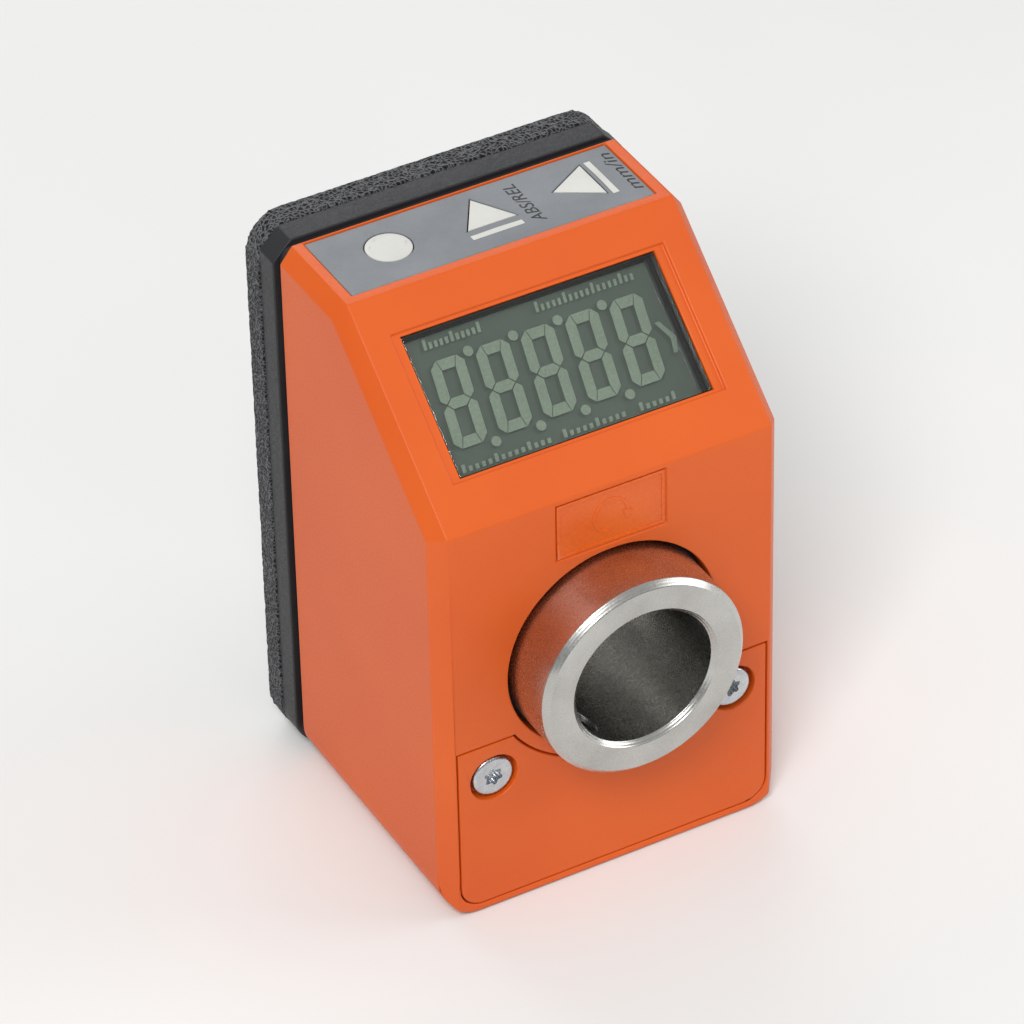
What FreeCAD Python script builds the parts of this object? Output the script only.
import FreeCAD, Part
import math
import os
import re
import Sketcher

# A hollow-shaft digital position indicator with a sloped liquid-crystal display.
#
# Frame: the origin is on the spindle bore's axis, in the machine's face, which the
# fitted indicator rests on. X points right, Y points to the machine, Z points up.
# "Reach" is the distance in front of that rear plane, so a reach of 10 is y = -10.

os.makedirs("parts", exist_ok=True)
doc = FreeCAD.newDocument("position_indicator")


# ---------------------------------------------------------------- driving dimensions

SIZES = {
    # outer case
    "case_width": 51.0,
    "case_top": 46.9,          # height of the top face above the bore axis
    "case_bottom": 36.6,       # depth of the bottom face below the bore axis
    "case_reach": 48.4,        # reach of the front face
    "case_back": 8.2,          # reach of the case's rear edge
    "slope_foot": 26.0,        # height where the front face turns into the slope
    "slope_angle": 39.9,       # degrees from horizontal
    "wall": 2.0,
    "cap_wall": 2.2,           # thickness of the top and of the slope
    "low_wall": 3.4,           # thickness of the front below the step
    "step_height": 8.0,        # the thick front wall stops this far below the axis
    "bevel_face": 1.8,         # side bevels, measured on the front, slope and top
    "bevel_side": 2.3,         # side bevels, measured on the side
    "foot_radius": 5.0,
    # display in the slope
    "window_width": 37.0,
    "window_height": 19.6,
    "window_up": 16.85,        # window centre, measured up the slope from its foot
    "lip_width": 1.4,          # the sunk lip beside the window
    "lip_height": 0.5,         # the sunk lip above and below it
    "lip_depth": 0.5,
    "lcd_width": 37.4,
    "lcd_height": 20.4,
    "frame_width": 41.0,       # display frame and display board
    "frame_height": 24.0,
    # keypad in the top
    "pad_width": 44.4,
    "pad_depth": 13.3,
    "pad_reach": 15.2,
    "pad_sink": 0.7,
    "film_thick": 0.5,
    "key_pitch": 14.0,
    "key_shift": 0.9,          # the row of keys stands this far right of the middle
    "key_reach": 14.7,
    "key_radius": 3.1,
    "key_base": 7.1,           # base of the triangular keys
    "key_height": 5.9,
    "key_inradius": 2.007,     # radius of the circle inscribed in that triangle
    "key_gap": 0.2,
    "key_sink": 0.15,          # key tops stand this far below the case's top
    "stem_radius": 1.2,
    "key_foot": 44.9,          # underside of the key heads
    "key_stem_foot": 43.35,
    # spindle bushing
    "bore_radius": 10.0,
    "hub_radius": 14.9,
    "hub_reach": 56.9,
    "tube_radius": 12.5,
    "hub_step": 44.0,          # reach of the shoulder behind the hub's head
    "hub_hole": 15.5,
    "collar_radius": 17.35,
    "bush_radius": 14.4,
    "bush_gap": 0.05,
    "grub_angle": -136.0,      # degrees from +X, seen from the front, anticlockwise
    "grub_reach": 52.4,
    "grub_radius": 2.5,
    # battery compartment
    "cover_half": 23.1,
    "cover_top": 9.4,          # below the axis
    "cover_foot": 35.4,        # below the axis
    "cover_thick": 1.5,
    "cover_gap": 0.2,
    "cover_arc": 17.6,
    "cover_corner": 3.2,
    "cover_gap_behind": 0.1,
    "cover_pocket": 1.6,       # depth of the case's pocket behind each cover screw
    "cover_screw_x": 17.9,
    "cover_screw_down": 15.0,
    "groove_width": 28.8,      # outside of the groove for the cover's seal
    "groove_height": 8.8,
    "groove_depth": 0.6,
    "cell_radius": 12.25,
    "cell_height": 5.0,
    "cell_down": 30.4,         # middle of the cell, below the axis
    "cell_reach": 32.5,
    # rear
    "base_reach": 3.2,         # reach of the base's rear face
    "foam_proud": 0.5,         # the free seal stands this far behind the rear plane
    "foam_beside": 0.7,        # how far the seal stands out beyond the case's sides
    "foam_above": 0.3,         # and beyond its top and bottom
    "foam_corner": 5.5,
    "base_beside": 0.4,        # how far the base stands out beyond the case's sides
    "base_corner": 2.8,        # cut off the base's top corners
    "gasket_inset": 0.6,
    "flange_thick": 3.8,
    "spigot_reach": 10.2,
    "seal_gap_height": 1.2,
    "corner_screw_x": 20.8,
    "corner_screw_up": 34.5,
    "corner_screw_down": 31.5,
    "pin_radius": 3.0,
    "pin_shank": 2.5,
    "pin_down": 30.0,
    "pin_end": 7.0,            # the pin's tip, behind the rear plane
    "pin_start": 0.6,          # where its full diameter starts, behind the rear plane
    # circuit boards
    "board_reach": 22.0,
    "board_thick": 1.6,
    "board_width": 42.0,
    "board_height": 58.0,
    "board_up": 4.0,
    "post_x": 19.0,
    "post_up": 28.0,
    "post_down": 20.0,
    "pad_board_height": 40.5,
    "pad_board_thick": 1.2,
    # plate for the maker's mark
    "label_width": 16.2,
    "label_height": 8.8,
    "label_up": 20.8,
}

sheet = doc.addObject("Spreadsheet::Sheet", "dims")
for row, (word, size) in enumerate(SIZES.items(), start=1):
    sheet.set("A%d" % row, word)
    sheet.set("B%d" % row, str(size))
    sheet.setAlias("B%d" % row, word)
doc.recompute()


# ---------------------------------------------------------------- drawing helpers

def bind(thing, prop, formula):
    """Tie a property to a formula written with the sheet's words."""
    def point_to_sheet(match):
        word = match.group(0)
        return "dims." + word if word in SIZES else word
    thing.setExpression(prop, re.sub(r"[a-z_]+", point_to_sheet, str(formula)))


def poly(*points):
    """A closed outline through points given as pairs of formulas."""
    return ("poly", points)


def rect(x, y, width, height):
    """A rectangle given by its centre and size."""
    left, right = "%s-(%s)/2" % (x, width), "%s+(%s)/2" % (x, width)
    low, high = "%s-(%s)/2" % (y, height), "%s+(%s)/2" % (y, height)
    return poly((left, low), (right, low), (right, high), (left, high))


def disc(x, y, radius):
    """A circle given by its centre and radius."""
    return ("disc", (x, y, radius))


def triangle(x, y, grow, turned=False):
    """The keys' triangle about its inscribed circle's centre, larger all round by grow.

    It points to the back, or to the left when turned."""
    scale = "(1+(%s)/key_inradius)" % grow
    half, foot = "key_base/2*" + scale, "key_inradius*" + scale
    tip = "(key_height-key_inradius)*" + scale
    if turned:
        corners = [(foot, "-" + half), (foot, half), ("-" + tip, "0")]
    else:
        corners = [("-" + half, "-" + foot), (half, "-" + foot), ("0", tip)]
    return poly(*[("%s+(%s)" % (x, dx), "%s+(%s)" % (y, dy)) for dx, dy in corners])


def fix_point(sketch, geometry, end, x, y):
    """Hold a point of a sketch at formulas measured from the sketch's origin."""
    for kind, formula in (("DistanceX", x), ("DistanceY", y)):
        index = sketch.addConstraint(Sketcher.Constraint(kind, -1, 1, geometry, end, 1.0))
        bind(sketch, "Constraints[%d]" % index, formula)


def draw_poly(sketch, points):
    first, count = sketch.GeometryCount, len(points)
    turn = 2 * math.pi / count
    rough = [FreeCAD.Vector(math.cos(turn * i), math.sin(turn * i), 0) for i in range(count)]
    for i in range(count):
        sketch.addGeometry(Part.LineSegment(rough[i], rough[(i + 1) % count]), False)
    for i in range(count):
        joint = Sketcher.Constraint("Coincident", first + i, 2, first + (i + 1) % count, 1)
        sketch.addConstraint(joint)
    for i, (x, y) in enumerate(points):
        fix_point(sketch, first + i, 1, x, y)


def draw_disc(sketch, spot):
    x, y, radius = spot
    ring = Part.Circle(FreeCAD.Vector(0, 0, 0), FreeCAD.Vector(0, 0, 1), 1.0)
    geometry = sketch.addGeometry(ring, False)
    fix_point(sketch, geometry, 3, x, y)
    index = sketch.addConstraint(Sketcher.Constraint("Radius", geometry, 1.0))
    bind(sketch, "Constraints[%d]" % index, radius)


# Each drawing plane: the body's origin plane, and the tilt about X of the sketch on it.
# front looks at the face (x, z), side at the profile (y, z), top looks down (x, y);
# slope lies in the sloped face (x, up the slope) and section cuts square across it.
PLANES = {
    "front": ("XZ_Plane", False),
    "side": ("YZ_Plane", False),
    "top": ("XY_Plane", False),
    "slope": ("XY_Plane", True),
    "section": ("XZ_Plane", True),
}


def sketch_on(body, plane, level, shapes):
    """Draw shapes on a plane, level above it along the plane's outward normal."""
    role, tilted = PLANES[plane]
    sketch = body.newObject("Sketcher::SketchObject", body.Name + "_sketch")
    support = [item for item in body.Origin.OriginFeatures if item.Role == role][0]
    sketch.AttachmentSupport = [(support, "")]
    sketch.MapMode = "FlatFace"
    if tilted:
        tilt = FreeCAD.Rotation(FreeCAD.Vector(1, 0, 0), SIZES["slope_angle"])
        sketch.AttachmentOffset = FreeCAD.Placement(FreeCAD.Vector(0, 0, 0), tilt)
        bind(sketch, "AttachmentOffset.Rotation.Angle", "slope_angle")
    if plane == "slope":
        bind(sketch, "AttachmentOffset.Base.y", "-case_reach-(%s)*sin(slope_angle)" % level)
        bind(sketch, "AttachmentOffset.Base.z", "slope_foot+(%s)*cos(slope_angle)" % level)
    elif plane == "section":
        bind(sketch, "AttachmentOffset.Base.y", "slope_foot")
        bind(sketch, "AttachmentOffset.Base.z", "case_reach")
    else:
        bind(sketch, "AttachmentOffset.Base.z", level)
    for kind, data in shapes:
        if kind == "poly":
            draw_poly(sketch, data)
        else:
            draw_disc(sketch, data)
    return sketch


def add(body, plane, level, height, *shapes):
    """Pad shapes outwards from a level; on the side plane, half to each side."""
    sketch = sketch_on(body, plane, level, shapes)
    pad = body.newObject("PartDesign::Pad", body.Name + "_pad")
    pad.Profile = sketch
    pad.Midplane = plane == "side"
    bind(pad, "Length", height)
    doc.recompute()
    return pad


def cut(body, plane, level, depth, *shapes):
    """Pocket shapes inwards from a level; on the side and section planes, both ways."""
    sketch = sketch_on(body, plane, level, shapes)
    before = body.Shape.Volume
    pocket = body.newObject("PartDesign::Pocket", body.Name + "_pocket")
    pocket.Profile = sketch
    pocket.Midplane = plane in ("side", "section")
    bind(pocket, "Length", depth)
    doc.recompute()
    if not body.Shape.Volume < before:
        raise RuntimeError("a pocket in %s removed nothing" % body.Label)
    return pocket


def upright_edges(shape, spots):
    """Names of the straight edges along Y that pass through (x, z) spots."""
    names = []
    for number, edge in enumerate(shape.Edges, start=1):
        ends = [vertex.Point for vertex in edge.Vertexes]
        if len(ends) != 2 or abs(ends[0].x - ends[1].x) + abs(ends[0].z - ends[1].z) > 1e-4:
            continue
        if any(math.hypot(ends[0].x - x, ends[0].z - z) < 1e-3 for x, z in spots):
            names.append("Edge%d" % number)
    return names


def round_edges(body, radius, spots):
    """Round the edges along Y at (x, z) spots."""
    base = body.Tip
    rounding = body.newObject("PartDesign::Fillet", body.Name + "_round")
    rounding.Base = (base, upright_edges(base.Shape, spots))
    bind(rounding, "Radius", radius)
    doc.recompute()


def new_body(label):
    body = doc.addObject("PartDesign::Body", label)
    body.Label = label
    return body


def slab(label, plane, level, height, *shapes):
    """A body made by one pad."""
    body = new_body(label)
    add(body, plane, level, height, *shapes)
    return body


def primitive(kind, label, place, turn=None, **sizes):
    """A Part primitive whose sizes and place are bound to the sheet."""
    thing = doc.addObject("Part::" + kind, label)
    thing.Label = label
    if turn:
        thing.Placement = FreeCAD.Placement(FreeCAD.Vector(0, 0, 0), turn)
    for name, formula in sizes.items():
        bind(thing, name, formula)
    for axis, formula in zip("xyz", place):
        bind(thing, "Placement.Base." + axis, formula)
    return thing


TO_FRONT = FreeCAD.Rotation(FreeCAD.Vector(1, 0, 0), 90)


def rod(label, x, z, reach, length, radius):
    """A cylinder along the bore's direction, from a reach towards the front."""
    place = (x, "-(%s)" % reach, z)
    return primitive("Cylinder", label, place, TO_FRONT, Radius=radius, Height=length)


def block(label, x, z, reach, width, height, depth):
    """A box centred on (x, z), from a reach towards the front."""
    place = ("%s-(%s)/2" % (x, width), "-(%s)-(%s)" % (reach, depth), "%s-(%s)/2" % (z, height))
    return primitive("Box", label, place, Length=width, Width=depth, Height=height)


def fuse(label, *parts):
    union = doc.addObject("Part::MultiFuse", label)
    union.Label = label
    union.Shapes = list(parts)
    return union


def subtract(label, base, tool):
    difference = doc.addObject("Part::Cut", label)
    difference.Label = label
    difference.Base, difference.Tool = base, tool
    return difference


def group(label, *parts):
    """Separate solids that share one node."""
    compound = doc.addObject("Part::Compound", label)
    compound.Label = label
    compound.Links = list(parts)
    return compound


def tube(label, reach, length, outer, inner):
    """A ring about the bore's axis."""
    return slab(label, "front", reach, length, disc("0", "0", outer), disc("0", "0", inner))


MIDDLE = "(case_top-case_bottom)/2"
CASE_HEIGHT = "case_top+case_bottom"
SLOPE_TOP = "case_reach-(case_top-slope_foot)/tan(slope_angle)"
POSTS = [(side + "*post_x", z) for side in ("-1", "1") for z in ("post_up", "-post_down")]
CORNER_SCREWS = [(side + "*corner_screw_x", z) for side in ("-1", "1")
                 for z in ("corner_screw_up", "-corner_screw_down")]
KEY_PLACES = ("key_shift-key_pitch", "key_shift", "key_shift+key_pitch")
PAD_SCREWS = [(side + "*key_pitch/2+key_shift", "-key_reach") for side in ("-1", "1")]


# ---------------------------------------------------------------- case

def bevel_corner(side, x, y, dx, dy):
    """The waste triangle at a corner (x, y), dx and dy long on its two faces."""
    edge = "%s*(%s)" % (side, x)
    inner = "%s*(%s-(%s))" % (side, x, dx)
    return poly((inner, y), (edge, y), (edge, "%s-(%s)" % (y, dy)))


def make_case_outside(case):
    half = "case_width/2"
    add(case, "front", "case_back", "case_reach-case_back",
        rect("0", MIDDLE, "case_width", CASE_HEIGHT))
    corners = [(side * SIZES["case_width"] / 2, -SIZES["case_bottom"]) for side in (-1, 1)]
    round_edges(case, "foot_radius", corners)
    cut(case, "side", "0", "case_width+2",
        poly(("-case_reach", "slope_foot"), ("-case_reach", "case_top+1"),
             ("-(%s)+1/tan(slope_angle)" % SLOPE_TOP, "case_top+1")))
    for side in ("-1", "1"):
        cut(case, "section", "0", "200", bevel_corner(side, half, "0", "bevel_face", "bevel_side"))
        cut(case, "front", "case_reach", "case_reach",
            bevel_corner(side, half, "case_top", "bevel_face", "bevel_side"))
        edge = "%s*(%s)" % (side, half)
        inner = "%s*(%s-bevel_face)" % (side, half)
        cut(case, "top", "case_top", CASE_HEIGHT,
            poly((inner, "-case_reach"), (edge, "-case_reach"), (edge, "-case_reach+bevel_side")))


def make_case_inside(case):
    """The cavity, open to the back: thick low front wall, step, front, slope and top."""
    inner_front = "-(case_reach-wall)"
    thick_front = "-(case_reach-low_wall)"
    drop = "cap_wall/cos(slope_angle)"
    cut(case, "side", "0", "case_width-2*wall",
        poly(("-case_back+1", "-case_bottom+wall"), (thick_front, "-case_bottom+wall"),
             (thick_front, "-step_height"), (inner_front, "-step_height"),
             (inner_front, "slope_foot+wall*tan(slope_angle)-" + drop),
             ("-case_reach+(case_top-cap_wall-slope_foot+%s)/tan(slope_angle)" % drop,
              "case_top-cap_wall"),
             ("-case_back+1", "case_top-cap_wall")))


def make_case_bosses(case):
    add(case, "front", "38.5", "case_reach-wall-38.5",
        disc("0", "0", "collar_radius"), disc("0", "0", "bush_radius"))
    for side in ("-1", "1"):
        x = side + "*cover_screw_x"
        add(case, "front", "37", "9", disc(x, "-cover_screw_down", "5.6"))
    for x, z in CORNER_SCREWS:
        add(case, "front", "spigot_reach+0.2", "9.4", disc(x, z, "3.2"))
        cut(case, "front", "spigot_reach+8.2", "8", disc(x, z, "1.2"))
    for x, y in PAD_SCREWS:
        add(case, "top", "pad_board_height+pad_board_thick", "3.5", disc(x, y, "1.8"))


def make_cover_recess(case):
    floor = "case_reach-cover_thick-cover_gap_behind"
    depth = "cover_thick+cover_gap_behind"
    corner = "(cover_corner+cover_gap)"
    half, foot = "(cover_half+cover_gap)", "(cover_foot+cover_gap)"
    top = "(cover_top-cover_gap)"
    cut(case, "front", "case_reach", depth,
        rect("0", "-(%s+%s-%s)/2" % (top, foot, corner), "2*" + half,
             "%s-%s-%s" % (foot, corner, top)))
    cut(case, "front", "case_reach", depth,
        rect("0", "-%s+%s/2" % (foot, corner), "2*%s-2*%s" % (half, corner), corner))
    for side in ("-1", "1"):
        cut(case, "front", "case_reach", depth,
            disc("%s*(%s-%s)" % (side, half, corner), "-%s+%s" % (foot, corner), corner))
    add(case, "front", "case_reach-low_wall", "low_wall",
        disc("0", "0", "collar_radius"), disc("0", "0", "hub_hole"))
    cut(case, "front", floor, "low_wall",
        rect("0", "-cell_down", "2*cell_radius+1.1", "cell_height+0.9"))
    for side in ("-1", "1"):
        x = side + "*cover_screw_x"
        cut(case, "front", floor, "cover_pocket", disc(x, "-cover_screw_down", "4.5"))
        cut(case, "front", floor + "-cover_pocket", "7.5", disc(x, "-cover_screw_down", "1.25"))


def make_front_case():
    case = new_body("front_case")
    make_case_outside(case)
    make_case_inside(case)
    make_case_bosses(case)
    make_cover_recess(case)
    cut(case, "front", "case_reach", "case_reach-hub_step+0.4", disc("0", "0", "hub_hole"))
    cut(case, "slope", "0", "lip_depth",
        rect("0", "window_up", "window_width+2*lip_width", "window_height+2*lip_height"))
    cut(case, "slope", "0", "cap_wall+1", rect("0", "window_up", "window_width", "window_height"))
    cut(case, "top", "case_top", "pad_sink", rect("0", "-pad_reach", "pad_width", "pad_depth"))
    cut(case, "top", "case_top", "cap_wall+0.2", *key_outlines("key_gap"))
    for x, y in PAD_SCREWS:
        cut(case, "top", "pad_board_height+pad_board_thick+2.4", "2.6", disc(x, y, "0.7"))
    cut(case, "front", "case_reach", "0.3", rect("0", "label_up", "label_width", "label_height"))


def make_rear():
    """Base plate with its spigot and board posts, gasket, foam seal, pin and screws."""
    base = new_body("rear_base")
    add(base, "front", "base_reach", "flange_thick",
        rect("0", MIDDLE, "case_width+2*base_beside", CASE_HEIGHT))
    half = SIZES["case_width"] / 2
    edge = half + SIZES["base_beside"]
    round_edges(base, "foot_radius", [(side * edge, -SIZES["case_bottom"]) for side in (-1, 1)])
    for side in ("-1", "1"):
        cut(base, "front", "base_reach+flange_thick", "flange_thick",
            bevel_corner(side, "case_width/2+base_beside", "case_top", "base_corner", "base_corner"))
    flange_front = "base_reach+flange_thick"
    spigot = rect("0", MIDDLE, "case_width-2*wall-0.2", CASE_HEIGHT + "-wall-cap_wall-0.2")
    add(base, "front", flange_front, "spigot_reach-base_reach-flange_thick", spigot)
    for x, z in POSTS:
        add(base, "front", "spigot_reach-1", "board_reach-spigot_reach+1", disc(x, z, "2.5"))
        cut(base, "front", "board_reach", "8.5", disc(x, z, "0.9"))
    cut(base, "front", "spigot_reach", "spigot_reach", disc("0", "0", "bush_radius-0.4"))
    cut(base, "front", "spigot_reach", "spigot_reach", disc("0", "-pin_down", "pin_shank"))
    for x, z in CORNER_SCREWS:
        cut(base, "front", "spigot_reach", "spigot_reach", disc(x, z, "1.7"))
        cut(base, "front", "base_reach+2", "2", disc(x, z, "3.1"))

    gasket = slab("base_gasket", "front", flange_front, "seal_gap_height",
                  rect("0", MIDDLE, "case_width-2*gasket_inset", CASE_HEIGHT + "-2*gasket_inset"),
                  spigot)
    inset = SIZES["gasket_inset"]
    low, high = inset - SIZES["case_bottom"], SIZES["case_top"] - inset
    round_edges(gasket, "foot_radius-1.0", [(side * (half - inset), low) for side in (-1, 1)])
    round_edges(gasket, "bevel_side", [(side * (half - inset), high) for side in (-1, 1)])

    foam = new_body("foam_seal")
    thick = "base_reach+foam_proud"
    add(foam, "front", "-foam_proud", thick,
        rect("0", MIDDLE, "case_width+2*foam_beside", CASE_HEIGHT + "+2*foam_above"))
    edge = half + SIZES["foam_beside"]
    low, high = -SIZES["case_bottom"] - SIZES["foam_above"], SIZES["case_top"] + SIZES["foam_above"]
    round_edges(foam, "foam_corner", [(side * edge, z) for side in (-1, 1) for z in (low, high)])
    cut(foam, "front", "base_reach", thick, disc("0", "0", "hub_hole+0.1"))
    cut(foam, "front", "base_reach", thick, disc("0", "-pin_down", "pin_radius+0.5"))

    shank = rod("pin_shank_rod", "0", "-pin_down", "-pin_start-0.1",
                "pin_start+0.1+base_reach+flange_thick", "pin_shank")
    head = rod("pin_head", "0", "-pin_down", "-pin_end+0.6", "pin_end-0.6-pin_start", "pin_radius")
    point = primitive("Cone", "pin_point", ("0", "pin_end-0.6", "-pin_down"),
                      FreeCAD.Rotation(FreeCAD.Vector(1, 0, 0), -90),
                      Radius1="pin_radius", Radius2="pin_radius-0.6", Height="0.6")
    fuse("anti_rotation_pin", shank, head, point)

    heads = []
    for number, (x, z) in enumerate(CORNER_SCREWS, start=1):
        head = rod("base_screw_head_%d" % number, x, z, "base_reach+0.2", "1.8", "2.8")
        shank = rod("base_screw_shank_%d" % number, x, z, "base_reach+1.9", "13.2", "1.15")
        heads.append(fuse("base_screw_%d" % number, head, shank))
    group("base_screws", *heads)


def key_outlines(grow):
    """Round key on the left, back-pointing and left-pointing triangles to its right."""
    left, middle, right = KEY_PLACES
    return [
        disc(left, "-key_reach", "key_radius+(%s)" % grow),
        triangle(middle, "-key_reach", grow),
        triangle(right, "-key_reach", grow, turned=True),
    ]


def make_keypad():
    slab("key_membrane", "top", "case_top-pad_sink", "film_thick",
         rect("0", "-pad_reach", "pad_width-0.2", "pad_depth-0.2"),
         *key_outlines("key_gap*0.75"))
    names = ("key_round", "key_up", "key_left")
    for name, outline, x in zip(names, key_outlines("0"), KEY_PLACES):
        key = slab(name, "top", "key_foot", "case_top-key_foot-key_sink", outline)
        add(key, "top", "key_stem_foot", "key_foot-key_stem_foot",
            disc(x, "-key_reach", "stem_radius"))

    slab("keypad_board", "top", "pad_board_height", "pad_board_thick",
         rect("0", "-15.6", "41", "10"), *[disc(x, y, "0.9") for x, y in PAD_SCREWS])
    switches = []
    for number, x in enumerate(KEY_PLACES, start=1):
        place = (x + "-2.5", "-key_reach-2.5", "pad_board_height+pad_board_thick")
        case = primitive("Box", "switch_case_%d" % number, place, Length="5", Width="5", Height="0.9")
        place = (x, "-key_reach", "pad_board_height+pad_board_thick+0.8")
        dome = primitive("Cylinder", "switch_dome_%d" % number, place, Radius="1.3", Height="0.45")
        switches.append(fuse("key_switch_%d" % number, case, dome))
    group("key_switches", *switches)
    screws = []
    for number, spot in enumerate(PAD_SCREWS, start=1):
        head = primitive("Cylinder", "pad_screw_head_%d" % number,
                         spot + ("pad_board_height-1.1",), Radius="1.6", Height="1.1")
        shank = primitive("Cylinder", "pad_screw_shank_%d" % number,
                          spot + ("pad_board_height-0.1",), Radius="0.65", Height="3.4")
        screws.append(fuse("pad_screw_%d" % number, head, shank))
    group("keypad_screws", *screws)


# ---------------------------------------------------------------- display

def make_display():
    """The stack behind the slope; levels are depths below the sloped face."""
    window = new_body("lcd_window")
    add(window, "slope", "-3", "0.8", rect("0", "window_up", "40", "23"))
    add(window, "slope", "-2.2", "1.4",
        rect("0", "window_up", "window_width-0.2", "window_height-0.2"))
    slab("lcd_frame", "slope", "-7", "4",
         rect("0", "window_up", "frame_width", "frame_height"),
         rect("0", "window_up", "lcd_width+0.2", "lcd_height+0.2"))
    slab("lcd_glass", "slope", "-5", "1.8", rect("0", "window_up", "lcd_width", "lcd_height"))
    slab("lcd_reflector", "slope", "-5.2", "0.2", rect("0", "window_up", "lcd_width", "16"))
    strips = []
    for name, shift in (("upper_strip", "9.1"), ("lower_strip", "-9.1")):
        strips.append(slab(name, "slope", "-7", "2", rect("0", "window_up+" + shift, "34", "1.8")))
    group("zebra_strips", *strips)
    slab("display_board", "slope", "-8", "1",
         rect("0", "window_up", "frame_width", "frame_height"))


# ---------------------------------------------------------------- spindle

def make_spindle():
    hub = new_body("hub_blank")
    bore, head, neck = "bore_radius", "hub_radius", "tube_radius"
    outline = poly(
        ("0", bore), ("0", neck + "-0.5"), ("-0.5", neck),
        ("-1.7", neck), ("-1.7", "11.7"), ("-3", "11.7"), ("-3", neck),
        ("-hub_step", neck), ("-hub_step", head),
        ("-45", head), ("-45", "13.4"), ("-47.1", "13.4"), ("-47.1", head),
        ("-hub_reach+0.8", head), ("-hub_reach", head + "-0.8"),
        ("-hub_reach", bore + "+0.7"), ("-hub_reach+0.7", bore))
    sketch = sketch_on(hub, "side", "0", [outline])
    turned = hub.newObject("PartDesign::Revolution", "hub_turned")
    turned.Profile = sketch
    turned.ReferenceAxis = (sketch, ["H_Axis"])
    turned.Angle = 360
    doc.recompute()

    across = FreeCAD.Rotation(FreeCAD.Vector(0, 1, 0), 90 - SIZES["grub_angle"])
    place = ["(%s)*cos(grub_angle)", "-grub_reach", "(%s)*sin(grub_angle)"]

    def radial(label, start, length, radius):
        spot = [formula % start if "%" in formula else formula for formula in place]
        return primitive("Cylinder", label, spot, across, Radius=radius, Height=length)

    subtract("spindle_hub", hub, radial("grub_hole", "bore_radius-1", "8", "grub_radius"))
    screw = radial("grub_body", "bore_radius+0.25", "4.4", "grub_radius-0.05")
    socket = radial("grub_socket", "bore_radius+2.4", "3", "1.25")
    subtract("grub_screw", screw, socket)

    primitive("Torus", "hub_o_ring", ("0", "-46.05", "0"), TO_FRONT,
              Radius1="14.35", Radius2="0.9")
    ring = tube("retaining_blank", "1.75", "1.2", "14.1", "11.75")
    gap = block("retaining_gap", "0", "-13", "1", "7", "6", "3")
    subtract("retaining_ring", ring, gap)
    tube("front_bush", "38.5", "5.1", "bush_radius", "tube_radius+bush_gap")
    tube("rear_bush", "base_reach+0.1", "spigot_reach-base_reach-0.1", "bush_radius-0.4",
         "tube_radius+bush_gap")
    tube("encoder_ring", "26", "4", "16", "tube_radius")


# ---------------------------------------------------------------- electronics

def ribbon(label, width, path, shift):
    """A flat cable bent along a path of (y, z) formulas, made thick by shift."""
    back = [("%s+(%s)" % (y, shift[0]), "%s+(%s)" % (z, shift[1])) for y, z in reversed(path)]
    return slab(label, "side", "0", width, poly(*(list(path) + back)))


def make_electronics():
    front = "board_reach+board_thick"
    slab("main_board", "front", "board_reach", "board_thick",
         rect("0", "board_up", "board_width", "board_height"),
         disc("0", "0", "13.4"), *[disc(x, z, "1.1") for x, z in POSTS])
    block("encoder_sensor", "0", "15.9", front, "6", "4.2", "1.6")
    chips = [
        block("processor", "-12", "24", front, "9", "9", "1.4"),
        block("regulator", "12.5", "24.5", front, "4", "5", "1.5"),
        block("crystal", "17.2", "-13.5", front, "2.4", "5", "1.2"),
        block("capacitor", "-17.2", "-13", front, "2.6", "4.6", "2"),
        block("memory", "8", "-21", front, "5", "4", "1.3"),
    ]
    group("board_chips", *chips)
    connectors = [
        block("front_connector", "0", "23.6", front, "12", "2.6", "2"),
        block("rear_connector", "0", "27.5", "board_reach-2", "12", "3", "2"),
        block("pad_connector", "0.3", "pad_board_height-1", "13.6", "8", "2", "3"),
    ]
    group("flex_connectors", *connectors)
    screws = []
    for number, (x, z) in enumerate(POSTS, start=1):
        head = rod("board_screw_head_%d" % number, x, z, front, "1.4", "1.9")
        shank = rod("board_screw_shank_%d" % number, x, z, "board_reach-7.5", "9.2", "0.85")
        screws.append(fuse("board_screw_%d" % number, head, shank))
    group("board_screws", *screws)

    ribbon("display_flex", "10", [("-34.2", "26.6"), ("-31", "23.5"), ("-25.7", "23.5")],
           ("0.05", "0.25"))
    ribbon("keypad_flex", "7", [("-15.1", "38.2"), ("-15.1", "27.4"), ("-19.7", "27.4")],
           ("-0.25", "0.25"))


# ---------------------------------------------------------------- battery

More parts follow.
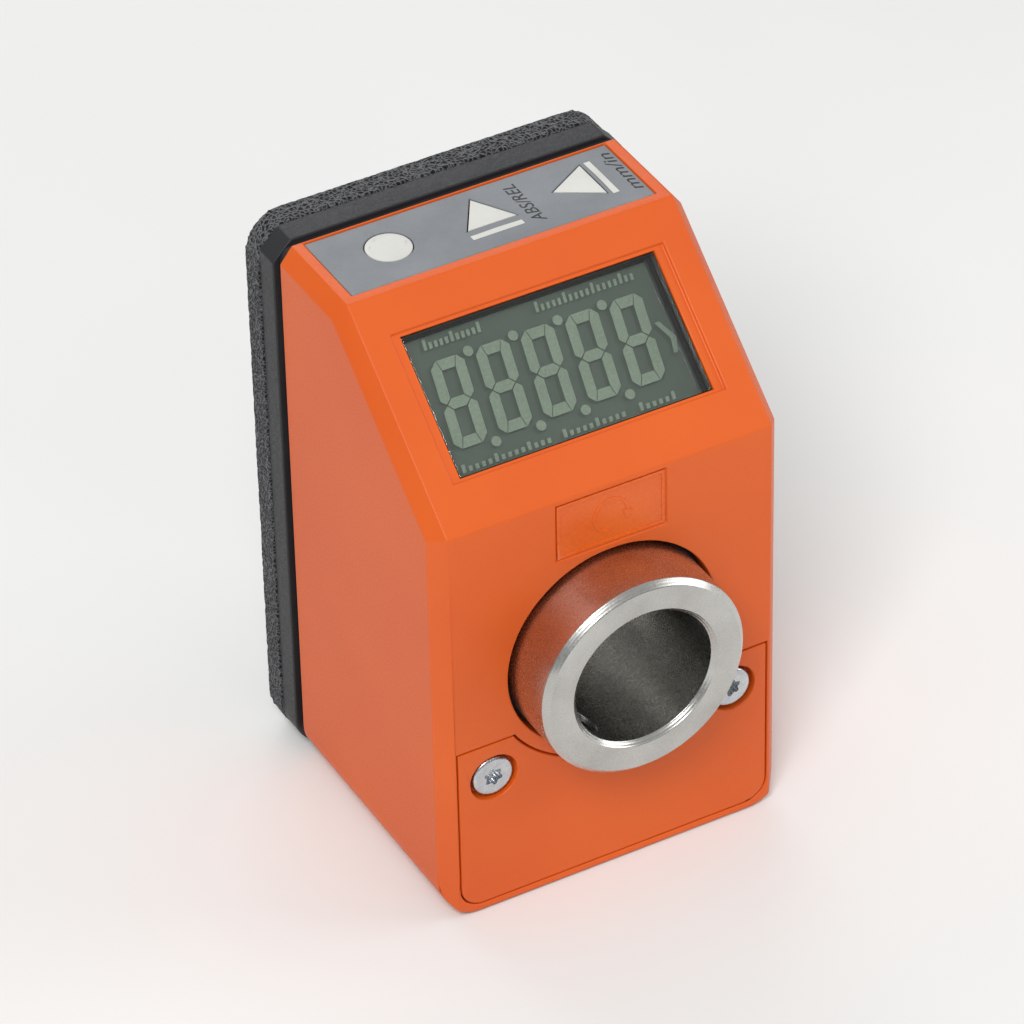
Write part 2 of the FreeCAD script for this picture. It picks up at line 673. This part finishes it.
def make_battery():
    top = "-cell_down+cell_height/2"
    foot = "-cell_down-cell_height/2"
    can = primitive("Cylinder", "cell_can", ("0", "-cell_reach", foot + "+0.8"),
                    Radius="cell_radius", Height="cell_height-0.8")
    cap = primitive("Cylinder", "cell_cap", ("0", "-cell_reach", foot),
                    Radius="cell_radius-1.2", Height="1")
    fuse("battery", can, cap)

    tray = new_body("battery_tray")
    add(tray, "top", foot + "-1.5", "cell_height+2.4", rect("0", "-31.8", "30.4", "25.6"))
    cut(tray, "top", top + "+0.15", "cell_height+0.3", disc("0", "-cell_reach", "cell_radius+0.35"))
    cut(tray, "top", top + "+0.15", "cell_height+0.3",
        rect("0", "-cell_reach-7", "2*(cell_radius+0.35)", "14"))
    cut(tray, "top", top + "+2", "3", rect("8", "-30", "5.6", "12.6"))
    cut(tray, "top", foot + "+0.1", "3", rect("-8", "-27.5", "5.6", "17.2"))

    positive = new_body("battery_contact_positive")
    low, high = top + "+0.1", "-23.2"
    add(positive, "side", "0", "4.6",
        poly(("-35", low), ("-24", low), ("-24", high), ("-24.3", high), ("-24.3", low + "+0.3"),
             ("-35", low + "+0.3")))
    bind(positive, "Placement.Base.x", "8")
    negative = new_body("battery_contact_negative")
    low = foot + "-0.4"
    add(negative, "side", "0", "4.6",
        poly(("-35", low), ("-18.4", low), ("-18.4", "-23.7"), ("-21.9", "-23.7"),
             ("-21.9", "-24"), ("-18.7", "-24"), ("-18.7", low + "+0.3"), ("-35", low + "+0.3")))
    bind(negative, "Placement.Base.x", "-8")

    cover = new_body("battery_cover")
    back = "case_reach-cover_thick"
    add(cover, "front", back, "cover_thick",
        rect("0", "-(cover_foot+cover_top)/2", "2*cover_half", "cover_foot-cover_top"))
    spots = [(side * SIZES["cover_half"], -SIZES["cover_foot"]) for side in (-1, 1)]
    round_edges(cover, "cover_corner", spots)
    cut(cover, "front", "case_reach", "cover_thick", disc("0", "0", "cover_arc"))
    heads = []
    for number, side in enumerate(("-1", "1"), start=1):
        x, z = side + "*cover_screw_x", "-cover_screw_down"
        add(cover, "front", back + "-1.5", "1.6", disc(x, z, "4.3"))
        cut(cover, "front", "case_reach", "1.9", disc(x, z, "3.5"))
        cut(cover, "front", "case_reach", "4", disc(x, z, "1.7"))
        head = rod("cover_screw_head_%d" % number, x, z, "case_reach-1.88", "1.7", "3")
        drive = block("cover_screw_drive_%d" % number, x, z, "case_reach-1.1", "2.4", "2.4", "1.5")
        shank = rod("cover_screw_shank_%d" % number, x, z, "40", "6.6", "1.2")
        blank = fuse("cover_screw_blank_%d" % number, head, shank)
        heads.append(subtract("cover_screw_%d" % number, blank, drive))
    group("cover_screws", *heads)
    cut(cover, "front", back + "+groove_depth", "groove_depth",
        rect("0", "-cell_down", "groove_width", "groove_height"),
        rect("0", "-cell_down", "groove_width-2.4", "groove_height-2.4"))
    slab("cover_seal", "front", back + "-0.05", "groove_depth+0.03",
         rect("0", "-cell_down", "groove_width-0.2", "groove_height-0.2"),
         rect("0", "-cell_down", "groove_width-2.2", "groove_height-2.2"))
    slab("label_plate", "front", "case_reach-0.3", "0.2",
         rect("0", "label_up", "label_width-0.4", "label_height-0.4"))


# ---------------------------------------------------------------- build and export

NODES = [
    "front_case", "rear_base", "base_gasket", "foam_seal", "anti_rotation_pin", "base_screws",
    "spindle_hub", "grub_screw", "hub_o_ring", "retaining_ring", "front_bush", "rear_bush",
    "encoder_ring", "main_board", "encoder_sensor", "board_chips", "flex_connectors",
    "board_screws", "display_flex", "keypad_flex", "lcd_window", "lcd_frame", "lcd_glass",
    "lcd_reflector", "zebra_strips", "display_board", "key_membrane", "key_round", "key_up",
    "key_left", "keypad_board", "key_switches", "keypad_screws", "battery", "battery_tray",
    "battery_contact_positive", "battery_contact_negative", "battery_cover", "cover_screws",
    "cover_seal", "label_plate",
]

make_front_case()
make_rear()
make_keypad()
make_display()
make_spindle()
make_electronics()
make_battery()
doc.recompute()

for thing in doc.Objects:
    if "Invalid" in thing.State or "Error" in thing.State:
        raise RuntimeError("%s did not build: %s" % (thing.Label, thing.State))

for node in NODES:
    thing = doc.getObjectsByLabel(node)[0]
    shape = thing.Shape
    if shape.isNull() or not shape.isValid() or not shape.Solids:
        raise RuntimeError("%s has no sound solid" % node)
    shape.exportStep("parts/%s.step" % node)
    box = shape.BoundBox
    print("%-26s solids %d  volume %9.1f  x %6.1f %6.1f  y %6.1f %6.1f  z %6.1f %6.1f" % (
        node, len(shape.Solids), shape.Volume,
        box.XMin, box.XMax, box.YMin, box.YMax, box.ZMin, box.ZMax))
